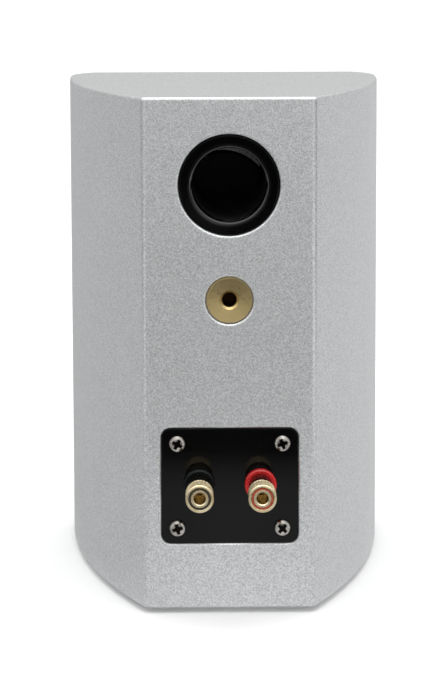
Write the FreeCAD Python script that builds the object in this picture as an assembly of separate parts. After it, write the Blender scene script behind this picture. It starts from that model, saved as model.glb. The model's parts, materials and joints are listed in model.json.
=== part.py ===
import FreeCAD, Part
import math
import os

# Two-way bookshelf loudspeaker with a boat-tailed cabinet.
# Millimetres. +Z is up, the drivers face -Y, the connections face +Y.
# The origin is on the surface the speaker stands on, under the middle of the cabinet.

# Cabinet
CABINET_DEPTH = 150.0
CABINET_HEIGHT = 180.0
HALF_REAR = 30.0        # half width of the flat rear
HALF_WIDE = 60.0        # half width where the cabinet is widest
HALF_FRONT = 52.0       # half width of the flat front
FRONT_ROLL = 20.0       # from the flat front back to the widest place
SIDE_WALL = 10.0
END_PANEL = 10.0
REAR_PANEL = 12.0
BAFFLE = 15.0
REAR_LAP = 2.0          # how far the side walls wrap behind the edge of the rear panel
CORNER_ROUND = 2.0
EDGE_ROUND = 1.0
RIM_ROUND = 0.8
BASE_PAD = 2.0             # thickness of the rubber sheet that the cabinet stands on
BASE_PAD_MARGIN = 5.0
BASE_PAD_CORNER = 3.0
EDGE_BREAK = 0.3           # small chamfer on turned and moulded edges

# Reflex port
PORT_BELOW_CEILING = 2.8    # from the top panel's underside to the port's mouth
PORT_MOUTH_RADIUS = 17.6
PORT_THROAT_RADIUS = 12.9
PORT_FLARE_DEPTH = 9.0
PORT_RIM_ROUND = 0.7
PORT_DISH = 0.15          # how far the ring slopes in from rim to lip
PORT_LIP_ROUND = 0.9      # where the ring turns into the throat
PORT_WALL = 1.5
PORT_LENGTH = 72.0
PORT_SINK = 0.6

# Threaded bracket insert
INSERT_BELOW_PORT = 14.6    # between the edges of the port and the insert
INSERT_FLANGE_RADIUS = 8.0
INSERT_RECESS_GAP = 0.35     # radial, between the flange and the panel
INSERT_FLANGE = 2.0
INSERT_BODY_RADIUS = 6.2
INSERT_LENGTH = 18.0
INSERT_THREAD_RADIUS = 2.6
INSERT_THREAD_LENGTH = 15.0
INSERT_CHAMFER = 0.8
INSERT_DISH = 0.5
INSERT_SINK = 0.4

# Terminal plate
PLATE_ABOVE_BASE = 43.7
PLATE_WIDTH = 47.9
PLATE_HEIGHT = 41.0
PLATE_CORNER = 3.3
PLATE_THICKNESS = 2.4
PLATE_SINK = 0.4
GASKET_THICKNESS = 0.8
GASKET_BAND = 4.5
PLATE_SCREW_WIDTH = 36.8
PLATE_SCREW_HEIGHT = 30.2
PLATE_SCREW_TURNS = (20.0, 62.0, 48.0, 15.0)

# Binding posts
POST_SPACING = 21.5
POST_ABOVE_PLATE_MIDDLE = 0.6
POST_RADIUS = 3.1
POST_REACH = 23.5       # from the plate's face to the end of the post
POST_INNER = 20.0       # from the plate's face back into the cabinet
SOCKET_RADIUS = 2.05
SOCKET_DEPTH = 15.0
POST_TIP_CHAMFER = 0.1
SOCKET_CHAMFER = 0.25
WIRE_HOLE_RADIUS = 1.1
COLLAR_LENGTH = 2.6
COLLAR_CHAMFER = 0.5
COLLAR_BOSS_WALL = 1.1
COLLAR_BRIM = 1.35       # from the boss out to the collar's edge
NUT_NECK_WALL = 1.1
NUT_HEAD_WALL = 1.75
NUT_HEAD_LENGTH = 8.5
NUT_CHAMFER = 0.45
NUT_GROOVES = 32
NUT_GROOVE_DEPTH = 0.3
NUT_GAP = 0.4           # from the collar to a nut that is screwed home
RING_WALL = 0.5
RING_LENGTH = 1.4
TAG_THICKNESS = 0.6
TAG_WIDTH = 3.0
TAG_REACH = 4.8          # from the washer's edge to the blade's end
WASHER_THICKNESS = 1.5
HEX_THICKNESS = 3.0
HEX_WALL = 1.4

# Mid-bass driver
WOOFER_GAP_BELOW = 3.0      # from the base panel up to the driver's flange
WOOFER_RADIUS = 45.0
WOOFER_FLANGE = 2.0
WOOFER_BAND = 8.2           # width of the flange's ring
WOOFER_DEPTH = 28.0         # from the flange's face back to the magnet system
BASKET_WALL = 1.5
BASKET_SEAT_RADIUS = 28.5
BASKET_WINDOWS = 6
BASKET_WINDOW = 18.0         # width of each window
BASKET_FRAME = 2.0           # metal left in front of and behind each window
SURROUND_LIP = 2.6
SURROUND_ROLL = 5.8
CONE_EDGE_DEPTH = 1.6
CONE_DEPTH = 15.0
SKIN = 0.6
COIL_RADIUS = 13.1
COIL_WALL = 0.7
COIL_GAP = 0.6
COIL_LENGTH = 22.0
DUST_CAP_RADIUS = 15.0
DUST_CAP_RISE = 5.0
SPIDER_DEPTH = 21.2
SPIDER_WAVE = 0.7
MAGNET_RADIUS = 32.0
MAGNET_HOLE_RADIUS = 18.0
MAGNET_THICKNESS = 12.0
POLE_PLATE = 4.0

# Tweeter
TWEETER_GAP = 3.0           # between the two drivers' flanges
TWEETER_RADIUS = 25.0
TWEETER_FLANGE = 3.0
TWEETER_EDGE = 2.0          # width of the dome's soft surround
TWEETER_MOUTH_WIDTH = 3.5
DOME_RADIUS = 10.0
DOME_RISE = 3.6
DOME_LIFT = 1.4             # from the magnet system up to the dome's rim
TWEETER_COIL_LENGTH = 6.0
TWEETER_PLATE = 3.0
TWEETER_MAGNET_RADIUS = 18.0
TWEETER_MAGNET = 8.0
TWEETER_MAGNET_STEP = 3.0   # how far the magnet's hole stands back from the dome's edge
TWEETER_CUP = 8.0
CUP_WALL = 1.2

# Grille
GRILLE_MARGIN = 4.0         # from the edge of the flat front to the cloth
GRILLE_CORNER = 6.0
GRILLE_WINDOW_CORNER = 2.5
GRILLE_BAR = 6.0
GRILLE_DEPTH = 5.6
GRILLE_GAP = 0.4
CLOTH = 0.6
CLOTH_SHORT = 1.0           # from the cloth's edge to the back of the frame
PEG_RADIUS = 2.0
PEG_LENGTH = 7.0
PEG_TAPER = 0.8
PEG_ROOM = 0.5              # from a peg's tip to the floor of its socket
PEG_FROM_PANEL = 8.0
SOCKET_WALL = 1.3

# Crossover
BOARD_WIDTH = 50.0
BOARD_LENGTH = 56.0
BOARD_THICKNESS = 1.6
BOARD_LIFT = 4.0
BOARD_SCREW_INSET = 4.0
SPACER_RADIUS = 3.0
INDUCTOR_RADIUS = 11.0
INDUCTOR_HEIGHT = 12.0
INDUCTOR_CORE_RADIUS = 4.5
CAPACITOR_SIZES = ((5.0, 22.0), (4.0, 18.0))
RESISTOR_SIZE = (22.0, 7.0, 7.0)
LEAD_RADIUS = 0.9

# Damping pad
PAD_WIDTH = 40.0
PAD_MARGIN = 6.0
PAD_THICKNESS = 10.0

# Screws
SCREW_HEAD_RADIUS = 2.95
SCREW_HEAD_RISE = 1.9
SCREW_SHANK_RADIUS = 1.4
SCREW_LENGTH = 9.0
SMALL_HEAD_RADIUS = 2.2
SMALL_HEAD_RISE = 1.3
SMALL_SHANK_RADIUS = 1.1
SMALL_LENGTH = 7.0

# Clearances
RUNNING = 0.05      # radial, between pieces that turn or slide in each other
FIT = 0.1           # radial, between fixed pieces and their holes
DRIVER_HOLE = 0.8   # radial, between a driver's body and the baffle

# Derived places
PLATE_SCREW = (SCREW_HEAD_RADIUS, SCREW_HEAD_RISE, SCREW_SHANK_RADIUS, SCREW_LENGTH)
SMALL_SCREW = (SMALL_HEAD_RADIUS, SMALL_HEAD_RISE, SMALL_SHANK_RADIUS, SMALL_LENGTH)
REAR_FACE = CABINET_DEPTH / 2
FRONT_FACE = -CABINET_DEPTH / 2
BASE = BASE_PAD
TOP = BASE + CABINET_HEIGHT
INNER_FLOOR = BASE + END_PANEL
INNER_CEILING = TOP - END_PANEL
INNER_REAR = REAR_FACE - REAR_PANEL
INNER_FRONT = FRONT_FACE + BAFFLE
WIDE_DEPTH = CABINET_DEPTH - FRONT_ROLL
SIDE_ARC_RADIUS = (WIDE_DEPTH ** 2 + (HALF_WIDE - HALF_REAR) ** 2) / (2 * (HALF_WIDE - HALF_REAR))
ROLL_ARC_RADIUS = (FRONT_ROLL ** 2 + (HALF_WIDE - HALF_FRONT) ** 2) / (2 * (HALF_WIDE - HALF_FRONT))
WIDE_Y = REAR_FACE - WIDE_DEPTH

PORT_Z = INNER_CEILING - PORT_BELOW_CEILING - PORT_MOUTH_RADIUS
INSERT_Z = PORT_Z - PORT_MOUTH_RADIUS - INSERT_BELOW_PORT - INSERT_FLANGE_RADIUS
INSERT_FACE = REAR_FACE - INSERT_SINK
INSERT_SEAT = INSERT_FACE - INSERT_FLANGE
PLATE_Z = BASE + PLATE_ABOVE_BASE
PLATE_FACE = REAR_FACE - PLATE_SINK
PLATE_BACK = PLATE_FACE - PLATE_THICKNESS
POST_Z = PLATE_Z + POST_ABOVE_PLATE_MIDDLE
POST_X = POST_SPACING / 2
POST_END = PLATE_FACE + POST_REACH
COLLAR_BOSS_RADIUS = POST_RADIUS + COLLAR_BOSS_WALL
COLLAR_RADIUS = COLLAR_BOSS_RADIUS + COLLAR_BRIM
NUT_NECK_RADIUS = POST_RADIUS + NUT_NECK_WALL
NUT_RADIUS = POST_RADIUS + NUT_HEAD_WALL
RING_RADIUS = POST_RADIUS + RUNNING + RING_WALL
HEX_ACROSS = 2 * (POST_RADIUS + HEX_WALL)
TAG_LENGTH = COLLAR_BOSS_RADIUS + TAG_REACH
COLLAR_FACE = PLATE_FACE + COLLAR_LENGTH
RECESS_FLOOR = PLATE_BACK - GASKET_THICKNESS
PLATE_SCREW_SPOTS = [
    (x * PLATE_SCREW_WIDTH / 2, PLATE_Z + z * PLATE_SCREW_HEIGHT / 2)
    for z in (1, -1) for x in (-1, 1)
]

WOOFER_Z = INNER_FLOOR + WOOFER_GAP_BELOW + WOOFER_RADIUS
LIP_RADIUS = WOOFER_RADIUS - WOOFER_BAND
LIP_OUTER = LIP_RADIUS + SURROUND_LIP
CONE_RADIUS = LIP_RADIUS - SURROUND_ROLL
WOOFER_HOLE_RADIUS = LIP_RADIUS + BASKET_WALL + DRIVER_HOLE
WOOFER_SCREW_RADIUS = (LIP_OUTER + WOOFER_RADIUS) / 2
WOOFER_SEAT = FRONT_FACE + WOOFER_DEPTH
CONE_EDGE = FRONT_FACE + CONE_EDGE_DEPTH
CONE_NECK = CONE_EDGE + CONE_DEPTH
SPIDER_Y = FRONT_FACE + SPIDER_DEPTH
GAP_RADIUS = COIL_RADIUS + COIL_GAP
POLE_RADIUS = COIL_RADIUS - COIL_WALL - COIL_GAP
MAGNET_FRONT = WOOFER_SEAT + POLE_PLATE
MAGNET_BACK = MAGNET_FRONT + MAGNET_THICKNESS

TWEETER_Z = WOOFER_Z + WOOFER_RADIUS + TWEETER_GAP + TWEETER_RADIUS
TWEETER_HOLE_RADIUS = TWEETER_MAGNET_RADIUS + DRIVER_HOLE
TWEETER_SCREW_RADIUS = (TWEETER_HOLE_RADIUS + TWEETER_RADIUS) / 2
TWEETER_THROAT_RADIUS = DOME_RADIUS + TWEETER_EDGE
TWEETER_MOUTH_RADIUS = TWEETER_THROAT_RADIUS + TWEETER_MOUTH_WIDTH
TWEETER_SEAT = FRONT_FACE + TWEETER_FLANGE
DOME_RIM = TWEETER_SEAT - DOME_LIFT
TWEETER_MAGNET_FRONT = TWEETER_SEAT + TWEETER_PLATE
TWEETER_MAGNET_BACK = TWEETER_MAGNET_FRONT + TWEETER_MAGNET
TWEETER_BACK = TWEETER_MAGNET_BACK + TWEETER_PLATE

GRILLE_HALF = HALF_FRONT - GRILLE_MARGIN
GRILLE_LOW = BASE + GRILLE_MARGIN
GRILLE_HIGH = TOP - GRILLE_MARGIN
GRILLE_BACK = FRONT_FACE - GRILLE_GAP
GRILLE_FACE = GRILLE_BACK - GRILLE_DEPTH
PEG_X = GRILLE_HALF - GRILLE_BAR / 2
PEG_SPOTS = [
    (x * PEG_X, z)
    for z in (INNER_FLOOR + PEG_FROM_PANEL, INNER_CEILING - PEG_FROM_PANEL) for x in (-1, 1)
]

BOARD_Z = INNER_FLOOR + BOARD_LIFT
BOARD_TOP = BOARD_Z + BOARD_THICKNESS
BOARD_Y = (INNER_REAR + MAGNET_BACK + POLE_PLATE) / 2
BOARD_SPOTS = [
    (x * (BOARD_WIDTH / 2 - BOARD_SCREW_INSET), BOARD_Y + y * (BOARD_LENGTH / 2 - BOARD_SCREW_INSET))
    for y in (-1, 1) for x in (-1, 1)
]


def point(x, y, z):
    return FreeCAD.Vector(x, y, z)


def block(x0, x1, y0, y1, z0, z1):
    return Part.makeBox(x1 - x0, y1 - y0, z1 - z0, point(x0, y0, z0))


def rod(radius, y0, y1, x=0.0, z=0.0):
    """Cylinder along Y."""
    return Part.makeCylinder(radius, y1 - y0, point(x, y0, z), point(0, 1, 0))


def tube(outer, inner, y0, y1, x=0.0, z=0.0):
    return rod(outer, y0, y1, x, z).cut(rod(inner, y0, y1, x, z))


def upright(radius, z0, z1, x, y):
    return Part.makeCylinder(radius, z1 - z0, point(x, y, z0), point(0, 0, 1))


def turned(profile, x=0.0, z=0.0):
    """Solid of revolution about a line along Y; profile points are (radius, y)."""
    points = [point(x + radius, y, z) for radius, y in profile]
    face = Part.Face(Part.makePolygon(points + points[:1]))
    return face.revolve(point(x, 0, z), point(0, 1, 0), 360)


def quarter_turn(radius, y, round_radius, first):
    """Profile points of a quarter circle round (radius, y), from the angle first in degrees."""
    turns = [math.radians(first + 15.0 * i) for i in range(7)]
    return [(radius + round_radius * math.cos(a), y + round_radius * math.sin(a)) for a in turns]


def rounded_slab(half_width, half_height, corner, y0, y1, z, x=0.0):
    """Rectangular slab facing Y with its four corners rounded."""
    slab = block(x - half_width, x + half_width, y0, y1, z - half_height, z + half_height)
    along = [e for e in slab.Edges if abs(e.tangentAt(e.FirstParameter).y) > 0.99]
    return slab.makeFillet(corner, along)


def rounded_rim(shape, y, radius, accept):
    """Rounds the edges that lie in the plane at y and that accept(edge) names."""
    rim = [e for e in shape.Edges if all(abs(v.Y - y) < 1e-6 for v in e.Vertexes) and accept(e)]
    return shape.makeFillet(radius, rim)


def joined(shapes):
    return shapes[0].fuse(shapes[1:]).removeSplitter()


def group(shapes):
    return Part.makeCompound(shapes)


def circle_spots(radius, count, z, first):
    turns = [math.radians(first + 360.0 * i / count) for i in range(count)]
    return [(radius * math.cos(a), z + radius * math.sin(a)) for a in turns]


def side_arc(radius_change):
    """Ends and middle of the right-hand side's arc, moved inwards by radius_change."""
    centre_x = HALF_WIDE - SIDE_ARC_RADIUS
    radius = SIDE_ARC_RADIUS - radius_change
    sweep = math.asin(WIDE_DEPTH / SIDE_ARC_RADIUS)
    return [
        point(centre_x + radius * math.cos(a), WIDE_Y + radius * math.sin(a), 0)
        for a in (sweep, sweep / 2, 0.0)
    ]


def roll_arc(radius_change):
    """Ends and middle of the right-hand front roll's arc, moved inwards by radius_change."""
    centre_x = HALF_WIDE - ROLL_ARC_RADIUS
    radius = ROLL_ARC_RADIUS - radius_change
    sweep = math.asin(FRONT_ROLL / ROLL_ARC_RADIUS)
    return [
        point(centre_x + radius * math.cos(a), WIDE_Y - radius * math.sin(a), 0)
        for a in (0.0, sweep / 2, sweep)
    ]


def mirrored(points):
    return [point(-p.x, p.y, p.z) for p in reversed(points)]


def plan_prism(inwards, z0, z1):
    """Upright prism of the cabinet's plan, with both sides moved inwards."""
    side, roll = side_arc(inwards), roll_arc(inwards)
    arcs = [side, roll, mirrored(roll), mirrored(side)]
    edges = [Part.Arc(*arc).toShape() for arc in arcs]
    edges.insert(2, Part.LineSegment(roll[2], mirrored(roll)[0]).toShape())
    edges.append(Part.LineSegment(mirrored(side)[2], side[0]).toShape())
    prism = Part.Face(Part.Wire(edges)).extrude(point(0, 0, z1 - z0))
    prism.translate(point(0, 0, z0))
    return prism


def cabinet_envelope():
    body = plan_prism(0.0, BASE, TOP)
    corners = [
        e for e in body.Edges
        if abs(e.tangentAt(e.FirstParameter).z) > 0.99
        and abs(abs(e.Vertexes[0].Y) - CABINET_DEPTH / 2) < 1e-6
    ]
    body = body.makeFillet(CORNER_ROUND, corners)
    ends = [
        e for e in body.Edges
        if all(abs(v.Z - BASE) < 1e-6 for v in e.Vertexes) or all(abs(v.Z - TOP) < 1e-6 for v in e.Vertexes)
    ]
    return body.makeFillet(EDGE_ROUND, ends)


def envelope_slice(y0, y1, z0, z1):
    return ENVELOPE.common(block(-HALF_WIDE - 1, HALF_WIDE + 1, y0, y1, z0, z1))


def screw(x, face, z, outwards, size, turn):
    """Pan-head cross-recess screw; its head sits on the plane at face and points outwards along Y."""
    head_radius, head_rise, shank_radius, length = size
    waist = head_rise * 0.45
    profile = [
        (0.0, -length), (shank_radius * 0.35, -length), (shank_radius, -length + 2.0), (shank_radius, 0.0),
        (head_radius, 0.0), (head_radius, waist), (head_radius * 0.86, head_rise * 0.78),
        (head_radius * 0.62, head_rise * 0.95), (head_radius * 0.3, head_rise), (0.0, head_rise),
    ]
    body = turned(profile)
    slot = 0.2 * head_radius
    arm = 0.64 * head_radius
    floor = head_rise * 0.16
    cross = joined([
        block(-arm, arm, floor, head_rise + 1, -slot, slot),
        block(-slot, slot, floor, head_rise + 1, -arm, arm),
        Part.makeCone(0.1, arm * 0.62, head_rise - floor, point(0, floor, 0), point(0, 1, 0)),
    ])
    body = body.cut(cross)
    body.rotate(point(0, 0, 0), point(0, 1, 0), turn)
    if outwards < 0:
        body.rotate(point(0, 0, 0), point(0, 0, 1), 180)
    body.translate(point(x, face, z))
    return body


def pilot_holes(spots, radius, y0, y1):
    return [rod(radius + FIT, y0, y1, x, z) for x, z in spots]


def lead(points):
    """Round wire along straight runs joined by tangent arcs."""
    places = [point(*p) for p in points]
    edges, start = [], places[0]
    for i in range(1, len(places) - 1):
        before, after = places[i] - places[i - 1], places[i + 1] - places[i]
        turn = before.getAngle(after)
        reach = 0.45 * min(before.Length, after.Length)
        back, ahead = before.normalize(), after.normalize()
        arc_start, arc_end = places[i] - back * reach, places[i] + ahead * reach
        radius = reach / math.tan(turn / 2)
        inwards = (ahead - back).normalize()
        middle = places[i] + inwards * (radius / math.cos(turn / 2) - radius)
        edges.append(Part.LineSegment(start, arc_start).toShape())
        edges.append(Part.Arc(arc_start, middle, arc_end).toShape())
        start = arc_end
    edges.append(Part.LineSegment(start, places[-1]).toShape())
    path = Part.Wire(edges)
    section = Part.Wire(Part.makeCircle(LEAD_RADIUS, places[0], places[1] - places[0]))
    return path.makePipeShell([section], True, True)


# ---- Cabinet ----

def side_wall(side):
    walls = envelope_slice(INNER_FRONT, REAR_FACE, INNER_FLOOR, INNER_CEILING)
    cavity = plan_prism(SIDE_WALL, INNER_FLOOR, INNER_CEILING)
    cavity = cavity.common(block(-HALF_WIDE, HALF_WIDE, INNER_FRONT, INNER_REAR, INNER_FLOOR, INNER_CEILING))
    pocket_half = HALF_REAR - REAR_LAP
    pocket = block(-pocket_half, pocket_half, INNER_REAR, REAR_FACE, INNER_FLOOR, INNER_CEILING)
    half = block(0, HALF_WIDE + 1, FRONT_FACE, REAR_FACE, INNER_FLOOR, INNER_CEILING)
    wall = walls.cut([cavity, pocket]).common(half)
    return wall if side > 0 else wall.mirror(point(0, 0, 0), point(1, 0, 0))


def top_panel():
    return envelope_slice(FRONT_FACE, REAR_FACE, INNER_CEILING, TOP)


def bottom_panel():
    panel = envelope_slice(FRONT_FACE, REAR_FACE, BASE, INNER_FLOOR)
    holes = [
        upright(SMALL_SHANK_RADIUS + FIT, INNER_FLOOR + BOARD_LIFT - SMALL_LENGTH - 1, INNER_FLOOR, x, y)
        for x, y in BOARD_SPOTS
    ]
    return panel.cut(holes)


def front_baffle():
    panel = envelope_slice(FRONT_FACE, INNER_FRONT, INNER_FLOOR, INNER_CEILING)
    cuts = [
        rod(WOOFER_RADIUS + FIT, FRONT_FACE, FRONT_FACE + WOOFER_FLANGE, 0, WOOFER_Z),
        rod(WOOFER_HOLE_RADIUS, FRONT_FACE, INNER_FRONT, 0, WOOFER_Z),
        rod(TWEETER_RADIUS + FIT, FRONT_FACE, TWEETER_SEAT, 0, TWEETER_Z),
        rod(TWEETER_HOLE_RADIUS, FRONT_FACE, INNER_FRONT, 0, TWEETER_Z),
    ]
    cuts += pilot_holes(WOOFER_SCREWS, SMALL_SHANK_RADIUS, FRONT_FACE, FRONT_FACE + SMALL_LENGTH + 1)
    cuts += pilot_holes(TWEETER_SCREWS, SMALL_SHANK_RADIUS, FRONT_FACE, FRONT_FACE + SMALL_LENGTH + 1)
    cuts += [peg_socket_body(x, z) for x, z in PEG_SPOTS]
    return panel.cut(cuts)


def rear_panel():
    half = HALF_REAR - REAR_LAP
    panel = block(-half, half, INNER_REAR, REAR_FACE, INNER_FLOOR, INNER_CEILING)
    cuts = [
        rod(PORT_MOUTH_RADIUS + FIT, REAR_FACE - PORT_FLARE_DEPTH, REAR_FACE, 0, PORT_Z),
        rod(PORT_THROAT_RADIUS + PORT_WALL + FIT, INNER_REAR, REAR_FACE, 0, PORT_Z),
        rod(INSERT_FLANGE_RADIUS + INSERT_RECESS_GAP, INSERT_SEAT, REAR_FACE, 0, INSERT_Z),
        rod(INSERT_BODY_RADIUS + FIT, INNER_REAR, REAR_FACE, 0, INSERT_Z),
        plate_slab(FIT, RECESS_FLOOR, REAR_FACE),
        terminal_window(INNER_REAR, REAR_FACE),
    ]
    panel = panel.cut(cuts)
    panel = rounded_rim(panel, REAR_FACE, RIM_ROUND, lambda e: abs(e.CenterOfMass.x) < half - 1
                        and e.BoundBox.ZLength < PLATE_HEIGHT + 1 and e.BoundBox.XLength < PLATE_WIDTH + 1)
    screw_end = RECESS_FLOOR - SCREW_LENGTH
    return panel.cut(pilot_holes(PLATE_SCREW_SPOTS, SCREW_SHANK_RADIUS, screw_end, REAR_FACE))


def base_pad():
    """Thin rubber sheet under the cabinet, inside its outline."""
    reach = CABINET_DEPTH / 2 - BASE_PAD_MARGIN
    sheet = plan_prism(BASE_PAD_MARGIN, 0, BASE_PAD)
    sheet = sheet.common(block(-HALF_WIDE, HALF_WIDE, -reach, reach, 0, BASE_PAD))
    upright_edges = [e for e in sheet.Edges if e.BoundBox.ZLength > BASE_PAD / 2]
    ends = [e for e in upright_edges if abs(abs(e.CenterOfMass.y) - reach) < 1e-6]
    return sheet.makeFillet(BASE_PAD_CORNER, ends)


# ---- Reflex port and bracket insert ----

def port_flare():
    """Mouth ring: it slopes in from a rounded rim to a rounded lip at the throat."""
    face = REAR_FACE - PORT_SINK
    lip = face - PORT_DISH
    floor = REAR_FACE - PORT_FLARE_DEPTH
    outline = [(PORT_THROAT_RADIUS, floor), (PORT_MOUTH_RADIUS, floor)]
    outline += quarter_turn(PORT_MOUTH_RADIUS - PORT_RIM_ROUND, face - PORT_RIM_ROUND, PORT_RIM_ROUND, 0)
    outline += quarter_turn(PORT_THROAT_RADIUS + PORT_LIP_ROUND, lip - PORT_LIP_ROUND, PORT_LIP_ROUND, 90)
    return turned(outline, 0, PORT_Z)


def port_tube():
    end = REAR_FACE - PORT_LENGTH
    start = REAR_FACE - PORT_FLARE_DEPTH
    return tube(PORT_THROAT_RADIUS + PORT_WALL, PORT_THROAT_RADIUS, end, start, 0, PORT_Z)


def bracket_insert():
    """Flanged brass bush with a blind threaded hole."""
    face = INSERT_FACE
    back = face - INSERT_LENGTH
    thread_end = face - INSERT_THREAD_LENGTH
    mouth = INSERT_THREAD_RADIUS + INSERT_CHAMFER
    outline = [
        (0, back), (INSERT_BODY_RADIUS, back), (INSERT_BODY_RADIUS, INSERT_SEAT),
        (INSERT_FLANGE_RADIUS, INSERT_SEAT), (INSERT_FLANGE_RADIUS, face - EDGE_BREAK),
        (INSERT_FLANGE_RADIUS - EDGE_BREAK, face), (mouth, face - INSERT_DISH),
        (INSERT_THREAD_RADIUS, face - INSERT_DISH - INSERT_CHAMFER),
        (INSERT_THREAD_RADIUS, thread_end), (0, thread_end),
    ]
    return turned(outline, 0, INSERT_Z)


# ---- Terminals ----

def plate_slab(grow, y0, y1):
    return rounded_slab(PLATE_WIDTH / 2 + grow, PLATE_HEIGHT / 2 + grow, PLATE_CORNER + grow, y0, y1, PLATE_Z)


def terminal_window(y0, y1):
    """Opening behind the plate that both posts' washers and nuts sit in."""
    return block(
        -POST_X - HEX_ACROSS, POST_X + HEX_ACROSS, y0, y1, POST_Z - HEX_ACROSS, POST_Z + HEX_ACROSS)


def terminal_plate():
    plate = rounded_rim(plate_slab(0.0, PLATE_BACK, PLATE_FACE), PLATE_FACE, EDGE_BREAK, lambda e: True)
    holes = [rod(COLLAR_BOSS_RADIUS + FIT, PLATE_BACK, PLATE_FACE, s * POST_X, POST_Z) for s in (-1, 1)]
    return plate.cut(holes + pilot_holes(PLATE_SCREW_SPOTS, SCREW_SHANK_RADIUS, PLATE_BACK, PLATE_FACE))


def terminal_gasket():
    sheet = plate_slab(0.0, RECESS_FLOOR, PLATE_BACK).cut(terminal_window(RECESS_FLOOR, PLATE_BACK))
    return sheet.cut(pilot_holes(PLATE_SCREW_SPOTS, SCREW_SHANK_RADIUS, RECESS_FLOOR, PLATE_BACK))


def terminal_screws():
    return group([
        screw(x, PLATE_FACE, z, 1, PLATE_SCREW, turn)
        for (x, z), turn in zip(PLATE_SCREW_SPOTS, PLATE_SCREW_TURNS)
    ])


def collar(x):
    """Insulating collar with a boss that lines the plate's hole."""
    outline = [
        (POST_RADIUS + RUNNING, PLATE_BACK), (COLLAR_BOSS_RADIUS, PLATE_BACK),
        (COLLAR_BOSS_RADIUS, PLATE_FACE), (COLLAR_RADIUS, PLATE_FACE),
        (COLLAR_RADIUS, COLLAR_FACE - COLLAR_CHAMFER), (COLLAR_RADIUS - COLLAR_CHAMFER, COLLAR_FACE),
        (POST_RADIUS + RUNNING, COLLAR_FACE),
    ]
    return turned(outline, x, POST_Z)


def post(x):
    """Hollow post with a socket for a 4 mm plug and a cross hole for bare wire."""
    mouth = SOCKET_RADIUS + SOCKET_CHAMFER
    outline = [
        (0, PLATE_FACE - POST_INNER), (POST_RADIUS, PLATE_FACE - POST_INNER),
        (POST_RADIUS, POST_END - POST_TIP_CHAMFER),
        (POST_RADIUS - POST_TIP_CHAMFER, POST_END), (mouth, POST_END),
        (SOCKET_RADIUS, POST_END - SOCKET_CHAMFER),
        (SOCKET_RADIUS, POST_END - SOCKET_DEPTH), (0, POST_END - SOCKET_DEPTH - SOCKET_RADIUS),
    ]
    wire_hole = Part.makeCylinder(
        WIRE_HOLE_RADIUS, 4 * POST_RADIUS,
        point(x - 2 * POST_RADIUS, COLLAR_FACE + WIRE_HOLE_RADIUS + 0.2, POST_Z), point(1, 0, 0))
    return turned(outline, x, POST_Z).cut(wire_hole)


def post_nut(x):
    """Knurled clamping nut with a smooth neck behind its head."""
    back = COLLAR_FACE + NUT_GAP
    head = POST_END - NUT_HEAD_LENGTH
    bore = POST_RADIUS + RUNNING
    outline = [
        (bore, back), (NUT_NECK_RADIUS, back), (NUT_NECK_RADIUS, head), (NUT_RADIUS - NUT_CHAMFER, head),
        (NUT_RADIUS, head + NUT_CHAMFER), (NUT_RADIUS, POST_END - NUT_CHAMFER),
        (NUT_RADIUS - NUT_CHAMFER, POST_END), (RING_RADIUS + RUNNING, POST_END),
        (RING_RADIUS + RUNNING, POST_END - RING_LENGTH - RUNNING), (bore, POST_END - RING_LENGTH - RUNNING),
    ]
    nut = turned(outline, x, POST_Z)
    groove = rod(NUT_GROOVE_DEPTH, head, POST_END, 0, NUT_RADIUS)
    grooves = []
    for i in range(NUT_GROOVES):
        cut = groove.copy()
        cut.rotate(point(0, 0, 0), point(0, 1, 0), 360.0 * i / NUT_GROOVES)
        cut.translate(point(x, 0, POST_Z))
        grooves.append(cut)
    return nut.cut(grooves)


def nut_ring(x):
    return tube(RING_RADIUS, POST_RADIUS + RUNNING, POST_END - RING_LENGTH, POST_END, x, POST_Z)


def inner_washer(x):
    back = PLATE_BACK - WASHER_THICKNESS
    return tube(COLLAR_RADIUS, POST_RADIUS + FIT, back, PLATE_BACK, x, POST_Z)


def solder_tag(x):
    front = PLATE_BACK - WASHER_THICKNESS
    washer = rod(COLLAR_BOSS_RADIUS, front - TAG_THICKNESS, front, x, POST_Z)
    blade = block(
        x - TAG_WIDTH / 2, x + TAG_WIDTH / 2, front - TAG_THICKNESS, front, POST_Z - TAG_LENGTH, POST_Z)
    return joined([washer, blade]).cut(rod(POST_RADIUS + FIT, front - TAG_THICKNESS, front, x, POST_Z))


def hex_nut(x):
    front = PLATE_BACK - WASHER_THICKNESS - TAG_THICKNESS
    reach = HEX_ACROSS / 2 / math.cos(math.pi / 6)
    turns = [math.pi / 3 * i for i in range(7)]
    corners = [
        point(x + reach * math.cos(a), front - HEX_THICKNESS, POST_Z + reach * math.sin(a)) for a in turns
    ]
    prism = Part.Face(Part.makePolygon(corners)).extrude(point(0, HEX_THICKNESS, 0))
    return prism.cut(rod(POST_RADIUS + FIT, front - HEX_THICKNESS, front, x, POST_Z))


# ---- Mid-bass driver ----

def basket_inner_radius(y):
    """Inside radius of the basket's sloping wall."""
    front, back = FRONT_FACE + WOOFER_FLANGE, WOOFER_SEAT - BASKET_WALL
    taper = LIP_RADIUS - (BASKET_SEAT_RADIUS - BASKET_WALL)
    return LIP_RADIUS - taper * (y - front) / (back - front)


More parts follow.
